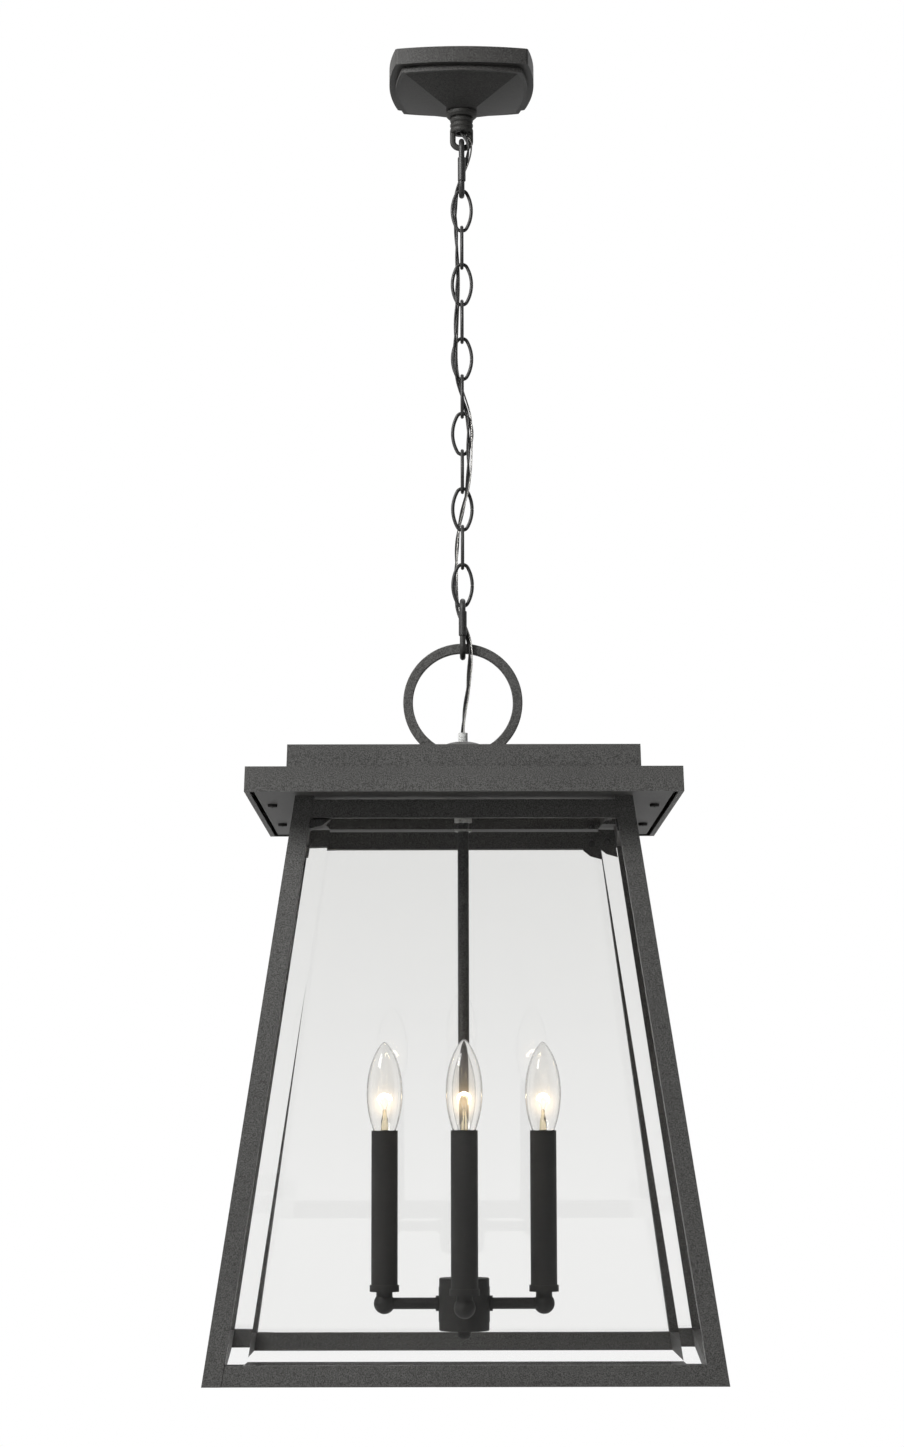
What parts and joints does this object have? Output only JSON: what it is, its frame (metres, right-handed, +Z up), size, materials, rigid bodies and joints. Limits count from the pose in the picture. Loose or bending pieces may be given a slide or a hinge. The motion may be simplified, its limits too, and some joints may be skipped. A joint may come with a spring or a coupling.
{
  "type": "hanging lantern",
  "caption": "Chain-hung square lantern: tapered glazed metal cage under a stepped flat roof, a candle cluster inside, a ring on top and a square ceiling canopy.",
  "frame": {"origin": "middle of the canopy's ceiling face; the lantern hangs below z = 0", "axes": "+Z up out of the ceiling face, front towards -Y, +X to the right seen from the front"},
  "size_m": [0.4064, 0.4064, 1.1293],
  "materials": {
    "black_metal": "fine textured powder coat, satin",
    "zinc_steel": "zinc plated",
    "cord_black": "flat two-core flex, satin",
    "wire_silver": "clear sleeve over stranded tinned copper",
    "gland_clear": "translucent bushing",
    "clear_glass": "clear, bevelled edges",
    "bulb_glass": "clear",
    "bulb_brass": "rolled screw shell",
    "socket_plastic": "moulded"
  },
  "bodies": {
    "canopy": {"canopy_shell": "black_metal", "mounting_strap": "zinc_steel", "threaded_nipple": "zinc_steel", "nipple_nuts": "zinc_steel", "collar_ring": "black_metal", "canopy_loop": "black_metal", "supply_cord": "cord_black", "ground_wire": "wire_silver"},
    "upper_quick_link": {"upper_quick_link": "black_metal"},
    "upper_sleeve": {"upper_link_sleeve": "black_metal"},
    "chain_link_01": {"chain_link_01": "black_metal"},
    "chain_link_02": {"chain_link_02": "black_metal"},
    "chain_link_03": {"chain_link_03": "black_metal"},
    "chain_link_04": {"chain_link_04": "black_metal"},
    "chain_link_05": {"chain_link_05": "black_metal"},
    "chain_link_06": {"chain_link_06": "black_metal"},
    "chain_link_07": {"chain_link_07": "black_metal"},
    "chain_link_08": {"chain_link_08": "black_metal"},
    "chain_link_09": {"chain_link_09": "black_metal"},
    "chain_link_10": {"chain_link_10": "black_metal"},
    "chain_link_11": {"chain_link_11": "black_metal"},
    "lower_quick_link": {"lower_quick_link": "black_metal"},
    "lower_sleeve": {"lower_link_sleeve": "black_metal"},
    "front_bulb": {"bulb_front_glass": "bulb_glass", "bulb_front_base": "bulb_brass"},
    "right_bulb": {"bulb_right_glass": "bulb_glass", "bulb_right_base": "bulb_brass"},
    "rear_bulb": {"bulb_rear_glass": "bulb_glass", "bulb_rear_base": "bulb_brass"},
    "left_bulb": {"bulb_left_glass": "bulb_glass", "bulb_left_base": "bulb_brass"},
    "lantern": {"bottom_rails": "black_metal", "candle_arms": "black_metal", "candle_cups": "black_metal", "candle_sleeves": "black_metal", "centre_rod": "black_metal", "crossbar": "black_metal", "frame_screws": "black_metal", "front_glass": "clear_glass", "front_left_post": "black_metal", "front_right_post": "black_metal", "glass_clips": "black_metal", "hanging_ring": "black_metal", "hub_body": "black_metal", "hub_caps": "black_metal", "hub_finial": "black_metal", "lamp_sockets": "socket_plastic", "left_glass": "clear_glass", "lock_nuts": "zinc_steel", "rear_glass": "clear_glass", "rear_left_post": "black_metal", "rear_right_post": "black_metal", "right_glass": "clear_glass", "ring_base": "black_metal", "roof_brim": "black_metal", "roof_cap": "black_metal", "roof_nipple": "zinc_steel", "roof_plate": "black_metal", "top_rails": "black_metal", "wire_gland": "gland_clear"}
  },
  "joints": [
    {"name": "upper_link_swing", "type": "hinge", "parent": "canopy", "child": "upper_quick_link", "pos_m": [0, 0, -0.06985], "axis": [1, 0, 0], "range_deg": [-30, 30], "deforming": ["supply_cord", "ground_wire"]},
    {"name": "chain_swing_01", "type": "hinge", "parent": "upper_quick_link", "child": "chain_link_01", "pos_m": [0, 0, -0.11345], "axis": [0, 1, 0], "range_deg": [-12, 12]},
    {"name": "chain_swing_02", "type": "hinge", "parent": "chain_link_01", "child": "chain_link_02", "pos_m": [0, 0, -0.14615], "axis": [1, 0, 0], "range_deg": [-12, 12]},
    {"name": "chain_swing_03", "type": "hinge", "parent": "chain_link_02", "child": "chain_link_03", "pos_m": [0, 0, -0.17985], "axis": [0, 1, 0], "range_deg": [-12, 12]},
    {"name": "chain_swing_04", "type": "hinge", "parent": "chain_link_03", "child": "chain_link_04", "pos_m": [0, 0, -0.21355], "axis": [1, 0, 0], "range_deg": [-12, 12]},
    {"name": "chain_swing_05", "type": "hinge", "parent": "chain_link_04", "child": "chain_link_05", "pos_m": [0, 0, -0.24725], "axis": [0, 1, 0], "range_deg": [-12, 12]},
    {"name": "chain_swing_06", "type": "hinge", "parent": "chain_link_05", "child": "chain_link_06", "pos_m": [0, 0, -0.28095], "axis": [1, 0, 0], "range_deg": [-12, 12]},
    {"name": "chain_swing_07", "type": "hinge", "parent": "chain_link_06", "child": "chain_link_07", "pos_m": [0, 0, -0.31465], "axis": [0, 1, 0], "range_deg": [-12, 12]},
    {"name": "chain_swing_08", "type": "hinge", "parent": "chain_link_07", "child": "chain_link_08", "pos_m": [0, 0, -0.34835], "axis": [1, 0, 0], "range_deg": [-12, 12]},
    {"name": "chain_swing_09", "type": "hinge", "parent": "chain_link_08", "child": "chain_link_09", "pos_m": [0, 0, -0.38205], "axis": [0, 1, 0], "range_deg": [-12, 12]},
    {"name": "chain_swing_10", "type": "hinge", "parent": "chain_link_09", "child": "chain_link_10", "pos_m": [0, 0, -0.41575], "axis": [1, 0, 0], "range_deg": [-12, 12]},
    {"name": "chain_swing_11", "type": "hinge", "parent": "chain_link_10", "child": "chain_link_11", "pos_m": [0, 0, -0.44945], "axis": [0, 1, 0], "range_deg": [-12, 12]},
    {"name": "lower_link_swing", "type": "hinge", "parent": "chain_link_11", "child": "lower_quick_link", "pos_m": [0, 0, -0.48315], "axis": [1, 0, 0], "range_deg": [-12, 12]},
    {"name": "lantern_swing", "type": "hinge", "parent": "lower_quick_link", "child": "lantern", "pos_m": [0, 0, -0.52795], "axis": [0, 1, 0], "range_deg": [-25, 25]},
    {"name": "upper_sleeve_unscrew", "type": "slide", "parent": "upper_quick_link", "child": "upper_sleeve", "axis": [0, 0, 1], "range_m": [0, 0.008]},
    {"name": "lower_sleeve_unscrew", "type": "slide", "parent": "lower_quick_link", "child": "lower_sleeve", "axis": [0, 0, -1], "range_m": [0, 0.008]},
    {"name": "front_bulb_unscrew", "type": "slide", "parent": "lantern", "child": "front_bulb", "axis": [0, 0, 1], "range_m": [0, 0.03]},
    {"name": "right_bulb_unscrew", "type": "slide", "parent": "lantern", "child": "right_bulb", "axis": [0, 0, 1], "range_m": [0, 0.03]},
    {"name": "rear_bulb_unscrew", "type": "slide", "parent": "lantern", "child": "rear_bulb", "axis": [0, 0, 1], "range_m": [0, 0.03]},
    {"name": "left_bulb_unscrew", "type": "slide", "parent": "lantern", "child": "left_bulb", "axis": [0, 0, 1], "range_m": [0, 0.03]}
  ]
}
